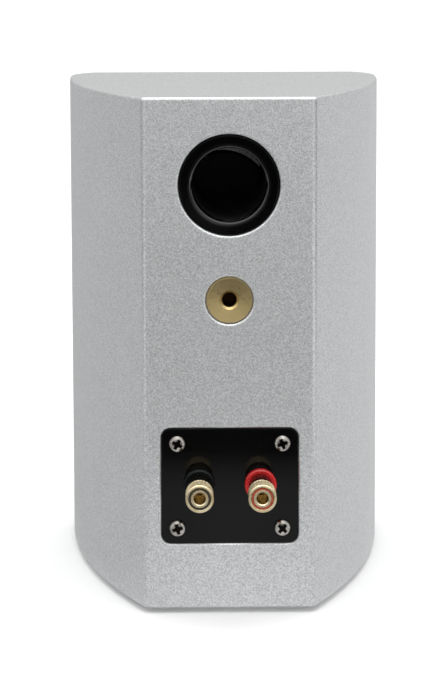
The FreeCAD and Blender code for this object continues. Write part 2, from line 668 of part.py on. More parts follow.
def woofer_basket():
    back = WOOFER_SEAT
    flange_back = FRONT_FACE + WOOFER_FLANGE
    flare = LIP_RADIUS + BASKET_WALL
    outline = [
        (WOOFER_RADIUS, FRONT_FACE), (WOOFER_RADIUS, flange_back), (flare, flange_back),
        (BASKET_SEAT_RADIUS, back - BASKET_WALL), (BASKET_SEAT_RADIUS, back), (GAP_RADIUS, back),
        (GAP_RADIUS, back - BASKET_WALL), (BASKET_SEAT_RADIUS - BASKET_WALL, back - BASKET_WALL),
        (LIP_RADIUS, flange_back), (LIP_RADIUS, FRONT_FACE),
    ]
    basket = turned(outline, 0, WOOFER_Z)
    window = block(
        LIP_RADIUS * 0.6, WOOFER_RADIUS, flange_back + BASKET_FRAME, SPIDER_Y - BASKET_FRAME,
        WOOFER_Z - BASKET_WINDOW / 2, WOOFER_Z + BASKET_WINDOW / 2)
    windows = []
    for i in range(BASKET_WINDOWS):
        cut = window.copy()
        cut.rotate(point(0, 0, WOOFER_Z), point(0, 1, 0), 360.0 * i / BASKET_WINDOWS)
        windows.append(cut)
    return basket.cut(windows + pilot_holes(WOOFER_SCREWS, SMALL_SHANK_RADIUS, FRONT_FACE, flange_back))


def woofer_gasket():
    return tube(LIP_OUTER, LIP_RADIUS, FRONT_FACE - SKIN - 1.0, FRONT_FACE - SKIN, 0, WOOFER_Z)


def half_roll(inner, outer, y, steps):
    """Points of a half circle between two radii, bulging to the front."""
    middle, reach = (inner + outer) / 2, (outer - inner) / 2
    turns = [math.pi * i / steps for i in range(steps + 1)]
    return [(middle + reach * math.cos(a), y - reach * math.sin(a)) for a in turns]


def woofer_surround():
    """Half-roll rubber edge between the basket's lip and the cone."""
    front = half_roll(CONE_RADIUS + SKIN, LIP_RADIUS, FRONT_FACE - SKIN, 12)
    back = half_roll(CONE_RADIUS + 2 * SKIN, LIP_RADIUS - SKIN, FRONT_FACE, 12)
    outline = [(LIP_OUTER, FRONT_FACE), (LIP_OUTER, FRONT_FACE - SKIN)] + front
    outline += [(CONE_RADIUS + SKIN, CONE_EDGE), (CONE_RADIUS + 2 * SKIN, CONE_EDGE)] + back[::-1]
    return turned(outline, 0, WOOFER_Z)


def cone_front(radius):
    """Y of the cone's front surface at a radius: a slightly flared funnel."""
    inner, outer = COIL_RADIUS + RUNNING, CONE_RADIUS + SKIN
    part = (radius - inner) / (outer - inner)
    return CONE_NECK - CONE_DEPTH * (0.72 * part + 0.28 * part ** 2)


def woofer_cone():
    """Paper cone from the voice coil out to the surround."""
    steps = 8
    inner, outer = COIL_RADIUS + RUNNING, CONE_RADIUS + SKIN
    radii = [inner + (outer - inner) * i / steps for i in range(steps + 1)]
    front = [(radius, cone_front(radius)) for radius in radii]
    back = [(radius, y + 2 * SKIN) for radius, y in front]
    return turned(front + back[::-1], 0, WOOFER_Z)


def woofer_dust_cap():
    """Shallow dome glued into the cone over the voice coil."""
    return dome(DUST_CAP_RADIUS, DUST_CAP_RISE, cone_front(DUST_CAP_RADIUS) - SKIN, WOOFER_Z)


def dome(radius, rise, rim, z):
    """Thin spherical cap, bulging to the front, with its rim in the plane at rim."""
    ball = (radius ** 2 + rise ** 2) / (2 * rise)
    sweep = math.asin(radius / ball)
    centre = rim - rise + ball
    turns = [sweep * i / 8 for i in range(9)]
    front = [(ball * math.sin(a), centre - ball * math.cos(a)) for a in turns]
    back = [((ball - SKIN) * math.sin(a), centre - (ball - SKIN) * math.cos(a)) for a in turns]
    return turned(front + back[::-1], 0, z)


def woofer_voice_coil():
    front = CONE_NECK - 2 * SKIN
    return tube(COIL_RADIUS, COIL_RADIUS - COIL_WALL, front, front + COIL_LENGTH, 0, WOOFER_Z)


def woofer_spider():
    """Corrugated disc that centres the voice coil."""
    inner = COIL_RADIUS + RUNNING
    outer = basket_inner_radius(SPIDER_Y + SPIDER_WAVE + SKIN) - FIT
    waves = 4
    steps = waves * 6
    front = []
    for i in range(steps + 1):
        part = i / steps
        wave = SPIDER_WAVE * math.sin(2 * math.pi * waves * part)
        front.append((inner + (outer - inner) * part, SPIDER_Y - wave))
    back = [(radius, y + SKIN) for radius, y in front]
    return turned(front + back[::-1], 0, WOOFER_Z)


def woofer_top_plate():
    return tube(MAGNET_RADIUS - 2, GAP_RADIUS, WOOFER_SEAT, MAGNET_FRONT, 0, WOOFER_Z)


def woofer_magnet():
    return tube(MAGNET_RADIUS, MAGNET_HOLE_RADIUS, MAGNET_FRONT, MAGNET_BACK, 0, WOOFER_Z)


def woofer_pole_piece():
    disc = rod(MAGNET_RADIUS - 2, MAGNET_BACK, MAGNET_BACK + POLE_PLATE, 0, WOOFER_Z)
    return joined([disc, rod(POLE_RADIUS, WOOFER_SEAT, MAGNET_BACK, 0, WOOFER_Z)])


def driver_screws(spots):
    return group([
        screw(x, FRONT_FACE, z, -1, SMALL_SCREW, 17.0 * i)
        for i, (x, z) in enumerate(spots)
    ])


# ---- Tweeter ----

def tweeter_faceplate():
    outline = [
        (TWEETER_RADIUS, TWEETER_SEAT), (TWEETER_RADIUS, FRONT_FACE + EDGE_BREAK),
        (TWEETER_RADIUS - EDGE_BREAK, FRONT_FACE),
        (TWEETER_MOUTH_RADIUS, FRONT_FACE), (TWEETER_THROAT_RADIUS + 1.0, FRONT_FACE + 0.7),
        (TWEETER_THROAT_RADIUS, FRONT_FACE + TWEETER_FLANGE * 0.55), (TWEETER_THROAT_RADIUS, TWEETER_SEAT),
    ]
    plate = turned(outline, 0, TWEETER_Z)
    return plate.cut(pilot_holes(TWEETER_SCREWS, SMALL_SHANK_RADIUS, FRONT_FACE, TWEETER_SEAT))


def tweeter_dome():
    return dome(DOME_RADIUS, DOME_RISE, DOME_RIM, TWEETER_Z)


def tweeter_surround():
    """Soft half-roll ring between the dome's rim and the faceplate."""
    inner, outer = DOME_RADIUS + RUNNING, TWEETER_THROAT_RADIUS - RUNNING
    front = half_roll(inner, outer, DOME_RIM, 8)
    back = half_roll(inner + SKIN / 2, outer - SKIN / 2, DOME_RIM + SKIN / 2, 8)
    middle = DOME_RIM + SKIN / 2
    return turned(front + [(inner, middle)] + back[::-1] + [(outer, middle)], 0, TWEETER_Z)


def tweeter_voice_coil():
    start = DOME_RIM + SKIN
    return tube(DOME_RADIUS, DOME_RADIUS - 0.5, start, start + TWEETER_COIL_LENGTH, 0, TWEETER_Z)


def tweeter_top_plate():
    gap_edge = DOME_RADIUS + COIL_GAP
    return tube(TWEETER_MAGNET_RADIUS, gap_edge, TWEETER_SEAT, TWEETER_MAGNET_FRONT, 0, TWEETER_Z)


def tweeter_magnet():
    hole = DOME_RADIUS + TWEETER_MAGNET_STEP
    return tube(TWEETER_MAGNET_RADIUS, hole, TWEETER_MAGNET_FRONT, TWEETER_MAGNET_BACK, 0, TWEETER_Z)


def tweeter_pole_piece():
    disc = rod(TWEETER_MAGNET_RADIUS, TWEETER_MAGNET_BACK, TWEETER_BACK, 0, TWEETER_Z)
    pole = rod(DOME_RADIUS - 0.5 - COIL_GAP, TWEETER_SEAT, TWEETER_MAGNET_BACK, 0, TWEETER_Z)
    return joined([disc, pole])


def tweeter_rear_cup():
    outside = rod(TWEETER_MAGNET_RADIUS, TWEETER_BACK, TWEETER_BACK + TWEETER_CUP, 0, TWEETER_Z)
    cup_floor = TWEETER_BACK + TWEETER_CUP - CUP_WALL
    inside = rod(TWEETER_MAGNET_RADIUS - CUP_WALL, TWEETER_BACK, cup_floor, 0, TWEETER_Z)
    return outside.cut(inside)


# ---- Grille ----

def grille_slab(grow, corner, y0, y1):
    middle = (GRILLE_LOW + GRILLE_HIGH) / 2
    half = (GRILLE_HIGH - GRILLE_LOW) / 2
    return rounded_slab(GRILLE_HALF + grow, half + grow, corner, y0, y1, middle)


def grille_frame():
    """Rounded frame with one bar across it, between the drivers."""
    frame = grille_slab(0.0, GRILLE_CORNER, GRILLE_FACE, GRILLE_BACK)
    window = grille_slab(-GRILLE_BAR, GRILLE_WINDOW_CORNER, GRILLE_FACE, GRILLE_BACK)
    bar_z = WOOFER_Z + WOOFER_RADIUS + TWEETER_GAP / 2
    reach = GRILLE_HALF - GRILLE_BAR / 2
    bar = block(
        -reach, reach, GRILLE_FACE, GRILLE_FACE + GRILLE_DEPTH / 2,
        bar_z - GRILLE_BAR / 4, bar_z + GRILLE_BAR / 4)
    return joined([frame.cut(window), bar])


def grille_cloth():
    """Cloth stretched over the frame's face and down its edges."""
    wrap = grille_slab(CLOTH, GRILLE_CORNER + CLOTH, GRILLE_FACE - CLOTH, GRILLE_BACK - CLOTH_SHORT)
    return wrap.cut(grille_slab(0.0, GRILLE_CORNER, GRILLE_FACE, GRILLE_BACK))


def grille_peg(x, z):
    tip = GRILLE_BACK + GRILLE_GAP + PEG_LENGTH
    outline = [
        (0, GRILLE_BACK), (PEG_RADIUS, GRILLE_BACK), (PEG_RADIUS, tip - PEG_TAPER),
        (PEG_RADIUS - PEG_TAPER, tip), (0, tip),
    ]
    return turned(outline, x, z)


def peg_socket_body(x, z):
    floor = FRONT_FACE + PEG_LENGTH + PEG_ROOM + SOCKET_WALL
    return rod(PEG_RADIUS + RUNNING + SOCKET_WALL, FRONT_FACE, floor, x, z)


def peg_socket(x, z):
    hole = rod(PEG_RADIUS + RUNNING, FRONT_FACE, FRONT_FACE + PEG_LENGTH + PEG_ROOM, x, z)
    return peg_socket_body(x, z).cut(hole)


# ---- Crossover ----

def crossover_board():
    board = block(-BOARD_WIDTH / 2, BOARD_WIDTH / 2, BOARD_Y - BOARD_LENGTH / 2, BOARD_Y + BOARD_LENGTH / 2,
                  BOARD_Z, BOARD_TOP)
    return board.cut([upright(SMALL_SHANK_RADIUS + FIT, BOARD_Z, BOARD_TOP, x, y) for x, y in BOARD_SPOTS])


def crossover_spacers():
    return group([
        upright(SPACER_RADIUS, INNER_FLOOR, BOARD_Z, x, y).cut(
            upright(SMALL_SHANK_RADIUS + FIT, INNER_FLOOR, BOARD_Z, x, y))
        for x, y in BOARD_SPOTS
    ])


def crossover_screws():
    screws = []
    for x, y in BOARD_SPOTS:
        shank = upright(SMALL_SHANK_RADIUS, BOARD_TOP - SMALL_LENGTH - BOARD_THICKNESS, BOARD_TOP, x, y)
        head = upright(SMALL_HEAD_RADIUS, BOARD_TOP, BOARD_TOP + SMALL_HEAD_RISE, x, y)
        screws.append(joined([shank, head]))
    return group(screws)


INDUCTOR_SPOT = (-BOARD_WIDTH / 2 + INDUCTOR_RADIUS + 2, BOARD_Y - BOARD_LENGTH / 2 + INDUCTOR_RADIUS + 8)


def crossover_inductor():
    x, y = INDUCTOR_SPOT
    winding = upright(INDUCTOR_RADIUS, BOARD_TOP + 1, BOARD_TOP + INDUCTOR_HEIGHT - 1, x, y)
    return winding.cut(upright(INDUCTOR_CORE_RADIUS, BOARD_TOP, BOARD_TOP + INDUCTOR_HEIGHT, x, y))


def inductor_bobbin():
    x, y = INDUCTOR_SPOT
    return joined([
        upright(INDUCTOR_RADIUS + 1, BOARD_TOP, BOARD_TOP + 1, x, y),
        upright(INDUCTOR_CORE_RADIUS, BOARD_TOP, BOARD_TOP + INDUCTOR_HEIGHT, x, y),
        upright(INDUCTOR_RADIUS + 1, BOARD_TOP + INDUCTOR_HEIGHT - 1, BOARD_TOP + INDUCTOR_HEIGHT, x, y),
    ])


def crossover_capacitors():
    shapes, x = [], BOARD_WIDTH / 2 - 3
    for radius, length in CAPACITOR_SIZES:
        x -= radius
        start = point(x, BOARD_Y - length / 2, BOARD_TOP + radius)
        shapes.append(Part.makeCylinder(radius, length, start, point(0, 1, 0)))
        x -= radius + 1
    return group(shapes)


def crossover_resistor():
    length, width, height = RESISTOR_SIZE
    y = BOARD_Y + BOARD_LENGTH / 2 - 9
    return block(-length / 2, length / 2, y - width, y, BOARD_TOP, BOARD_TOP + height)


def damping_pad():
    return block(
        -PAD_WIDTH / 2, PAD_WIDTH / 2, INNER_REAR - PAD_THICKNESS, INNER_REAR,
        POST_Z + HEX_ACROSS + PAD_MARGIN, INSERT_Z - INSERT_BODY_RADIUS - PAD_MARGIN)


def input_leads():
    """Two wires from the solder tags down to the board."""
    start_y = PLATE_BACK - WASHER_THICKNESS - TAG_THICKNESS - LEAD_RADIUS
    end_y = BOARD_Y + BOARD_LENGTH / 2 - 3
    tag_z = POST_Z - TAG_LENGTH + TAG_WIDTH
    wires = []
    for side in (-1, 1):
        x = side * POST_X
        wires.append(lead([
            (x, start_y, tag_z), (x, INNER_REAR - 2.0, tag_z - 1.0),
            (x * 1.1, INNER_REAR - 6.0, (tag_z + BOARD_TOP) / 2),
            (x * 1.2, end_y, BOARD_TOP + LEAD_RADIUS + FIT),
        ]))
    return group(wires)


WOOFER_SCREWS = circle_spots(WOOFER_SCREW_RADIUS, 4, WOOFER_Z, 45)
TWEETER_SCREWS = circle_spots(TWEETER_SCREW_RADIUS, 3, TWEETER_Z, 90)
ENVELOPE = cabinet_envelope()

NODES = {
    "side_wall_left": side_wall(-1),
    "side_wall_right": side_wall(1),
    "top_panel": top_panel(),
    "bottom_panel": bottom_panel(),
    "front_baffle": front_baffle(),
    "rear_panel": rear_panel(),
    "base_pad": base_pad(),
    "damping_pad": damping_pad(),
    "port_flare": port_flare(),
    "port_tube": port_tube(),
    "bracket_insert": bracket_insert(),
    "terminal_plate": terminal_plate(),
    "terminal_gasket": terminal_gasket(),
    "terminal_screws": terminal_screws(),
    "inner_washers": group([inner_washer(-POST_X), inner_washer(POST_X)]),
    "solder_tags": group([solder_tag(-POST_X), solder_tag(POST_X)]),
    "hex_nuts": group([hex_nut(-POST_X), hex_nut(POST_X)]),
    "woofer_basket": woofer_basket(),
    "woofer_gasket": woofer_gasket(),
    "woofer_surround": woofer_surround(),
    "woofer_cone": woofer_cone(),
    "woofer_dust_cap": woofer_dust_cap(),
    "woofer_voice_coil": woofer_voice_coil(),
    "woofer_spider": woofer_spider(),
    "woofer_top_plate": woofer_top_plate(),
    "woofer_magnet": woofer_magnet(),
    "woofer_pole_piece": woofer_pole_piece(),
    "woofer_screws": driver_screws(WOOFER_SCREWS),
    "tweeter_faceplate": tweeter_faceplate(),
    "tweeter_dome": tweeter_dome(),
    "tweeter_surround": tweeter_surround(),
    "tweeter_voice_coil": tweeter_voice_coil(),
    "tweeter_top_plate": tweeter_top_plate(),
    "tweeter_magnet": tweeter_magnet(),
    "tweeter_pole_piece": tweeter_pole_piece(),
    "tweeter_rear_cup": tweeter_rear_cup(),
    "tweeter_screws": driver_screws(TWEETER_SCREWS),
    "grille_frame": grille_frame(),
    "grille_cloth": grille_cloth(),
    "grille_pegs": group([grille_peg(x, z) for x, z in PEG_SPOTS]),
    "grille_sockets": group([peg_socket(x, z) for x, z in PEG_SPOTS]),
    "crossover_board": crossover_board(),
    "crossover_spacers": crossover_spacers(),
    "crossover_screws": crossover_screws(),
    "crossover_inductor": crossover_inductor(),
    "inductor_bobbin": inductor_bobbin(),
    "crossover_capacitors": crossover_capacitors(),
    "crossover_resistor": crossover_resistor(),
    "input_leads": input_leads(),
}
for colour, x in (("red", -POST_X), ("black", POST_X)):
    NODES[f"{colour}_collar"] = collar(x)
    NODES[f"{colour}_post"] = post(x)
    NODES[f"{colour}_post_nut"] = post_nut(x)
    NODES[f"{colour}_nut_ring"] = nut_ring(x)

os.makedirs("parts", exist_ok=True)
for name, shape in NODES.items():
    shape.exportStep(f"parts/{name}.step")
    print(f"{name}: {len(shape.Solids)} solid, {shape.Volume:.1f} mm3, valid {shape.isValid()}")
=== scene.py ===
import json
import math

import bpy
from mathutils import Matrix, Vector


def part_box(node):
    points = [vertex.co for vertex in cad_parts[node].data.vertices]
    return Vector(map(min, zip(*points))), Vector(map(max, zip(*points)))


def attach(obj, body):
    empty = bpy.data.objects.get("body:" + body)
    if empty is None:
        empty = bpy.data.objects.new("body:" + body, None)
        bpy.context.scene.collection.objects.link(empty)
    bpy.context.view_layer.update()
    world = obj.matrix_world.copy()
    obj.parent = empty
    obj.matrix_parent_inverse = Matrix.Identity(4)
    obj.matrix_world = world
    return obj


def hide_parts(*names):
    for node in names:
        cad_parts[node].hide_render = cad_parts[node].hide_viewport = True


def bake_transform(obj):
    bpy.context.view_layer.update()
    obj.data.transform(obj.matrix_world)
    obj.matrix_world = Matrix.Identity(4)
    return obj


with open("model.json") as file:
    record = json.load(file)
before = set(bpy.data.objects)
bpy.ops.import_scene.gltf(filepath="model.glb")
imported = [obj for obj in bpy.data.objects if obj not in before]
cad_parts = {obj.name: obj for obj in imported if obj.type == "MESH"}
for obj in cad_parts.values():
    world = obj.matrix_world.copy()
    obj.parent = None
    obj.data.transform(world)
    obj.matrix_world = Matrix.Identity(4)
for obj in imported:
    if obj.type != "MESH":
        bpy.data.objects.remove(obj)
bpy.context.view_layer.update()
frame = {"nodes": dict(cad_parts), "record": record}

# Camera: behind the cabinet, a little above it, looking at its rear panel
CAMERA_PLACE = (0.0160, 0.9442, 0.2417)
CAMERA_YAW = 0.0161
CAMERA_PITCH = 0.124
CAMERA_ROLL = -0.0028
CAMERA_LENS = 134.39
CAMERA_SHIFT = -0.1493

# Materials. The wave textures repeat every pi / 10 of their own unit
WAVE_PERIOD = math.pi / 10
PAINT_LOW = (0.511, 0.525, 0.531)
PAINT_HIGH = (0.937, 0.951, 0.957)
# Inside this radius the brass insert's hole is painted dark as shade
BRASS_SHADE_RADIUS = 0.0027          # radius inside which the insert's hole is dark
PORT_LIP = 0.0139            # radius where the port's ring starts to turn in

# Post nuts
KNURL_TEETH = 30
KNURL_STEPS = 60             # rows along the knurled head
KNURL_DEPTH = 0.00032
KNURL_LEAN = 950.0           # grooves crossed per metre along the nut
KNURL_CREST = 1.6            # how much of each ridge is flat on top
NUT_HEAD = 0.0085
NUT_NECK = 0.0042
NUT_CHAMFER = 0.0004
NUT_BORE_GAP = 0.00005
NUT_BORE_BREAK = 0.0002      # chamfer of the hole that holds the coloured ring
NUT_RING_SEAT = 0.0014       # depth of that hole
NUT_EDGE_ANGLE = 38          # edges sharper than this many degrees stay sharp

# Soft edges of the drivers
FLEX_SECTORS = 12
SURROUND_LIP = 0.0026
SKIN = 0.0006
SPIDER_WAVES = 4
SPIDER_WAVE = 0.0007

# Damping foam and grille cloth
FOAM_CROWN = 1.8             # rise of the foam's face, in half thicknesses
FOAM_BOW = 0.02              # how far its edges bow in at the corners
GRILLE_CORNER = 0.0066
CLOTH_DIP = 0.0003           # how far the stretched cloth bows in between the frame's bars
CLOTH_FOLD = 0.0008          # radius of its fold over the frame's edge
CLOTH_RINGS = 14

# Studio. The glows are painted reflections: a glowing card, seen only in reflections, shows the floor, the
# room and the bright paper at each side of the camera
PAPER_EDGE = (0.24, 0.34)    # where the near paper ends, towards the camera
DARK_HALF = (0.17, 0.30)     # half width of the unlit room straight behind the camera
FAR_START = (0.55, 0.75)     # distance aside at which the room is unlit again
FAR_EDGE = (0.30, 0.45)      # slanting edge of that far part
FAR_SLANT = 0.6
SIDE_START = (0.0, 0.07)     # where the paper grows dimmer towards each side
CARD_HEIGHT = 0.0004
FLOOR_GLOW = (0.700, 0.700, 0.707)
ROOM_GLOW = (0.030, 0.030, 0.030)
STRIP_GLOW = 2.1
FLOOR_LEFT = 0.64
FLOOR_RIGHT = 0.84
SKY_ACROSS = ((0.0, 1.11), (0.5, 1.0), (1.0, 0.99))
SKY_ALONG = ((0.0, 0.76), (0.6, 0.90), (1.0, 1.06))
SKY = ((0.0, 0.55), (0.15, 0.65), (0.45, 0.68), (0.7, 1.30), (1.0, 2.50))


def box_middle(node):
    low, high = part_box(node)
    return (low + high) / 2


def half_width(node):
    low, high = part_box(node)
    return (high.x - low.x) / 2


# ---- Materials ----

class Look:
    """One procedural material. Patterns use the row frame's own metres, so they run on across pieces."""

    def __init__(self, name, color=(0.5, 0.5, 0.5), **sockets):
        self.material = bpy.data.materials.new(name)
        self.material.use_nodes = True
        self.tree = self.material.node_tree
        self.shader = self.tree.nodes["Principled BSDF"]
        self.shader.inputs["Base Color"].default_value = (*color, 1)
        for socket, value in sockets.items():
            self.shader.inputs[socket.replace("_", " ")].default_value = value
        self.place = self.tree.nodes.new("ShaderNodeTexCoord").outputs["Object"]
        self.normal = None

    def node(self, kind, inputs=(), **settings):
        made = self.tree.nodes.new(kind)
        for key, value in settings.items():
            setattr(made, key, value)
        for key, value in dict(inputs).items():
            if isinstance(value, bpy.types.NodeSocket):
                self.tree.links.new(value, made.inputs[key])
            else:
                made.inputs[key].default_value = value
        return made

    def moved(self, offset=(0, 0, 0), scale=(1, 1, 1)):
        start = [-o * s for o, s in zip(offset, scale)]
        inputs = {"Vector": self.place, "Location": start, "Scale": scale}
        return self.node("ShaderNodeMapping", inputs).outputs[0]

    def noise(self, scale, detail=3.0, rough=0.5, place=None):
        inputs = {"Vector": place or self.place, "Scale": scale, "Detail": detail, "Roughness": rough}
        return self.node("ShaderNodeTexNoise", inputs).outputs["Fac"]

    def cells(self, scale, place=None, output="Color"):
        inputs = {"Vector": place or self.place, "Scale": scale}
        return self.node("ShaderNodeTexVoronoi", inputs).outputs[output]

    def rings(self, pitch, middle, axis="Y", distort=0.0):
        inputs = {"Vector": self.moved(middle), "Scale": WAVE_PERIOD / pitch, "Distortion": distort}
        settings = {"wave_type": "RINGS", "rings_direction": axis, "wave_profile": "SIN"}
        return self.node("ShaderNodeTexWave", inputs, **settings).outputs["Fac"]

    def bands(self, pitch, axis, distort=0.0, place=None):
        inputs = {"Vector": place or self.place, "Scale": WAVE_PERIOD / pitch, "Distortion": distort}
        settings = {"wave_type": "BANDS", "bands_direction": axis, "wave_profile": "SIN"}
        return self.node("ShaderNodeTexWave", inputs, **settings).outputs["Fac"]

    def ramp(self, value, low, high, out_low, out_high):
        inputs = {"Value": value, "From Min": low, "From Max": high, "To Min": out_low, "To Max": out_high}
        return self.node("ShaderNodeMapRange", inputs).outputs["Result"]

    def blend(self, factor, first, second):
        mixed = self.node("ShaderNodeMix", {"Factor": factor}, data_type="RGBA")
        for slot, value in ((6, first), (7, second)):
            if isinstance(value, bpy.types.NodeSocket):
                self.tree.links.new(value, mixed.inputs[slot])
            else:
                mixed.inputs[slot].default_value = (*value, 1)
        return mixed.outputs[2]

    def along(self, axis):
        return self.node("ShaderNodeSeparateXYZ", {"Vector": self.place}).outputs[axis]

    def from_axis(self, middle):
        """Distance from a line along Y through middle."""
        flat = self.moved(middle, (1, 0, 1))
        return self.node("ShaderNodeVectorMath", {0: flat}, operation="LENGTH").outputs["Value"]

    def math(self, operation, first, second=0.0):
        return self.node("ShaderNodeMath", {0: first, 1: second}, operation=operation).outputs[0]

    def color(self, value):
        self.tree.links.new(value, self.shader.inputs["Base Color"])
        return self

    def rough(self, value):
        self.tree.links.new(value, self.shader.inputs["Roughness"])
        return self

    def bump(self, height, depth, strength=1.0):
        inputs = {"Height": height, "Distance": depth, "Strength": strength}
        if self.normal is not None:
            inputs["Normal"] = self.normal
        self.normal = self.node("ShaderNodeBump", inputs).outputs["Normal"]
        self.tree.links.new(self.normal, self.shader.inputs["Normal"])
        return self


def flake_lacquer():
    """Silver base coat full of fine metal flake, under clear lacquer."""
    look = Look("flake_lacquer", Metallic=0.85, Coat_Weight=0.6, Coat_Roughness=0.05, Coat_IOR=1.5)
    tone = look.node("ShaderNodeSeparateColor", {"Color": look.cells(3000.0)}).outputs["Red"]
    cloud = look.noise(45.0, 4.0)
    shade = look.math("ADD", look.math("MULTIPLY", tone, 0.88), look.math("MULTIPLY", cloud, 0.12))
    look.color(look.blend(shade, PAINT_LOW, PAINT_HIGH))
    look.rough(look.ramp(look.noise(1600.0, 2.0), 0.3, 0.7, 0.34, 0.44))
    look.bump(tone, 0.00003, 0.35)
    return look.bump(look.noise(260.0, 2.0), 0.00004, 0.05)


def gloss_black():
    """Moulded plastic with a near mirror finish and fine rub marks."""
    look = Look("gloss_black", (0.0012, 0.0013, 0.0012), IOR=1.33)
    rubs = look.noise(1.0, 4.0, place=look.moved(scale=(90, 90, 1400)))
    look.rough(look.ramp(rubs, 0.35, 0.75, 0.06, 0.13))
    return look.bump(look.noise(70.0, 2.0), 0.00004, 0.06)


def port_black():
    """Moulded black port with a polished throat and lip and a duller ring round them."""
    middle = box_middle("port_flare")
    look = Look("port_black", (0.0008, 0.0008, 0.0008), IOR=1.5)
    radius = look.from_axis(middle)
    lip = look.ramp(radius, PORT_LIP, PORT_LIP + 0.0008, 0.9, 0.12)
    look.tree.links.new(lip, look.shader.inputs["Specular IOR Level"])
    look.rough(look.ramp(look.noise(500.0, 3.0), 0.35, 0.75, 0.08, 0.14))
    return look.bump(look.noise(70.0, 2.0), 0.00004, 0.05)


def satin_black(name="satin_black", color=(0.018, 0.018, 0.019), grain=1800.0):
    """Finely spark-eroded plastic."""
    look = Look(name, color, IOR=1.45)
    look.rough(look.ramp(look.noise(grain * 0.5, 3.0), 0.3, 0.7, 0.36, 0.56))
    return look.bump(look.noise(grain, 4.0), 0.00005, 0.35)


def turned_brass():
    """Lathe-turned face: fine tool rings that spread the light round the axis; its hole is painted near black
    as shade.
    """
    middle = box_middle("bracket_insert")
    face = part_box("bracket_insert")[1].y
    look = Look("turned_brass", Metallic=1.0, Anisotropic=0.4)
    radius = look.from_axis(middle)
    # Painted shade: inside the hole, deeper than about 1.6 mm below the face, the colour goes near black
    painted_hole_shade = look.math("MULTIPLY",
                        look.ramp(radius, BRASS_SHADE_RADIUS, BRASS_SHADE_RADIUS + 0.0003, 1.0, 0.0),
                        look.ramp(look.along("Y"), face - 0.0045, face - 0.0016, 1.0, 0.0))
    tarnish = look.math("MULTIPLY", look.rings(0.0006, middle), look.noise(300.0, 4.0))
    brass = look.blend(tarnish, (0.66, 0.52, 0.25), (0.50, 0.38, 0.17))
    look.color(look.blend(painted_hole_shade, brass, (0.03, 0.016, 0.006)))
    look.rough(look.ramp(look.noise(700.0, 3.0), 0.3, 0.7, 0.26, 0.36))
    tangent = look.node("ShaderNodeTangent", direction_type="RADIAL", axis="Y").outputs[0]
    look.tree.links.new(tangent, look.shader.inputs["Tangent"])
    return look


def recessed_nickel(name, seat, outwards):
    """Bright nickel screw heads whose driving recess, cut down towards the seat, is painted near black as
    shade, along with the foot of each head.
    """
    look = Look(name, Metallic=1.0)
    depth = look.math("MULTIPLY", look.math("SUBTRACT", look.along("Y"), seat), outwards)
    # Painted shade: everything less than about 0.9 mm above the seat is coloured near black, fading out by
    # 1.35 mm
    painted_recess_shade = look.ramp(depth, 0.0009, 0.00135, 1.0, 0.0)
    grime = look.ramp(look.noise(420.0, 4.0), 0.35, 0.7, 0.0, 1.0)
    plating = look.blend(grime, (0.66, 0.63, 0.59), (0.40, 0.37, 0.34))
    look.color(look.blend(painted_recess_shade, plating, (0.012, 0.010, 0.009)))
    look.rough(look.ramp(look.noise(900.0, 4.0), 0.3, 0.7, 0.12, 0.26))
    return look.bump(look.noise(1600.0, 2.0), 0.00001, 0.3)


def plated(name, low, high, rough=(0.12, 0.26)):
    """Bright electroplate with soft handling marks."""
    look = Look(name, Metallic=1.0)
    look.color(look.blend(look.ramp(look.noise(420.0, 4.0), 0.35, 0.7, 0.0, 1.0), high, low))
    look.rough(look.ramp(look.noise(900.0, 4.0), 0.3, 0.7, *rough))
    return look.bump(look.noise(1600.0, 2.0), 0.00001, 0.3)


def knurled_gold(color):
    """Gold plate with painted shade: behind the face, the knurl's grooves and all that lies deeper are
    coloured dark brown, leaving its points bright.
    """
    look = plated(f"knurled_gold_{color}", (0.70, 0.55, 0.30), (0.92, 0.80, 0.55), (0.16, 0.3))
    nut = f"{color}_post_nut"
    middle, outer = box_middle(nut), half_width(nut)
    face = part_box(nut)[1].y
    # Painted shade: dark brown wherever the nut is narrower than the knurl's points, from just behind its
    # face back
    low = look.ramp(look.from_axis(middle), outer - 0.00026, outer - 0.00001, 1.0, 0.0)
    side = look.ramp(look.along("Y"), face - 0.0005, face - 0.0003, 1.0, 0.0)
    painted_groove_shade = look.node("ShaderNodeMix", {"Factor": look.math("MULTIPLY", low, side)}, data_type="RGBA")
    look.tree.links.new(look.shader.inputs["Base Color"].links[0].from_socket, painted_groove_shade.inputs[6])
    painted_groove_shade.inputs[7].default_value = (0.045, 0.030, 0.012, 1)
    return look.color(painted_groove_shade.outputs[2])


def dyed_plastic(name, low, high, gloss=0.5):
    """Glossy coloured insulator."""
    look = Look(name, IOR=1.46, Specular_IOR_Level=gloss)
    look.color(look.blend(look.noise(500.0, 3.0), low, high))
    look.rough(look.ramp(look.noise(1200.0, 3.0), 0.3, 0.7, 0.18, 0.32))
    return look.bump(look.noise(900.0, 2.0), 0.00002, 0.2)


def rubber():
    look = Look("rubber", Specular_IOR_Level=0.35)
    look.color(look.blend(look.noise(320.0, 4.0), (0.012, 0.012, 0.012), (0.035, 0.034, 0.033)))
    look.rough(look.ramp(look.noise(700.0, 3.0), 0.3, 0.7, 0.6, 0.85))
    return look.bump(look.noise(1500.0, 4.0), 0.00006, 0.4)


def foam():
    """Open-cell foam."""
    look = Look("foam", Specular_IOR_Level=0.1, Roughness=0.95)
    cells = look.cells(900.0, output="Distance")
    look.color(look.blend(cells, (0.016, 0.016, 0.018), (0.075, 0.075, 0.08)))
    return look.bump(cells, 0.0004, 0.9)


